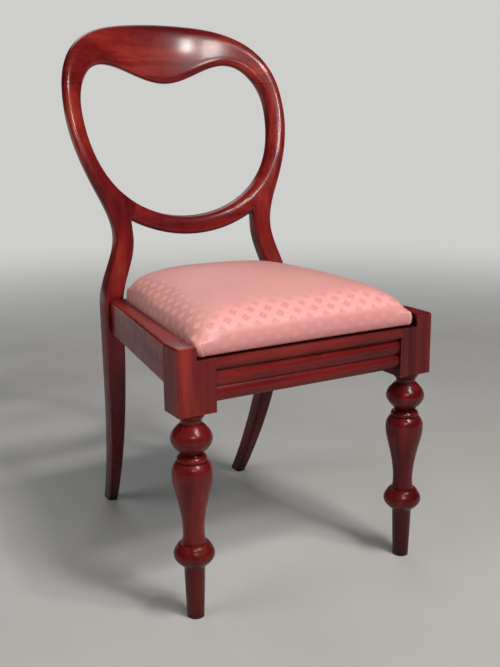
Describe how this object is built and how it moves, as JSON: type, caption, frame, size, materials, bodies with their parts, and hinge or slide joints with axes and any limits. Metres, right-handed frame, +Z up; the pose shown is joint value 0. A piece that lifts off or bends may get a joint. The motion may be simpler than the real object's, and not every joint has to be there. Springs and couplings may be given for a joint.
{
  "type": "dining chair",
  "caption": "Balloon back dining chair: bowed hoop back, sabre rear legs, turned front legs, moulded rails and a padded drop-in seat that lifts out.",
  "frame": {"origin": "on the floor, at the centre of the box around the chair", "axes": "+Z up, -Y towards the front of the seat, +X to the right of someone who looks at the front"},
  "size_m": [0.439, 0.5462, 0.8645],
  "materials": {
    "mahogany": "glossy French polish over deep red-brown mahogany",
    "beech": "bare beech, waxed only by age",
    "steel": "blued steel, dull",
    "webbing": "tight herringbone jute webbing",
    "hessian": "coarse plain jute weave",
    "stuffing": "hair and cotton wadding under calico",
    "damask": "rose pink satin damask with small staggered diamonds",
    "bottom_cloth": "black cotton dust cloth"
  },
  "bodies": {
    "chair_frame": {"rear_leg_left": "mahogany", "rear_leg_right": "mahogany", "crest_rail": "mahogany", "lower_balloon_rail": "mahogany", "crest_dowels": "beech", "lower_rail_dowels": "beech", "front_leg_left": "mahogany", "front_leg_right": "mahogany", "front_seat_rail": "mahogany", "side_seat_rail_left": "mahogany", "side_seat_rail_right": "mahogany", "back_seat_rail": "mahogany", "back_seat_batten": "beech", "corner_block_front_left": "beech", "corner_block_front_right": "beech", "corner_block_back_left": "beech", "corner_block_back_right": "beech", "corner_block_screws": "steel"},
    "drop_in_seat": {"seat_frame_front": "beech", "seat_frame_back": "beech", "seat_frame_left": "beech", "seat_frame_right": "beech", "seat_frame_dowels": "beech", "webbing_lengthwise": "webbing", "webbing_crosswise": "webbing", "base_hessian": "hessian", "seat_stuffing": "stuffing", "seat_cover": "damask", "bottom_cloth": "bottom_cloth", "cover_tacks": "steel"}
  },
  "joints": [
    {"name": "seat_lift", "type": "slide", "parent": "chair_frame", "child": "drop_in_seat", "axis": [0, 0, 1], "range_m": [0, 0.09]}
  ]
}
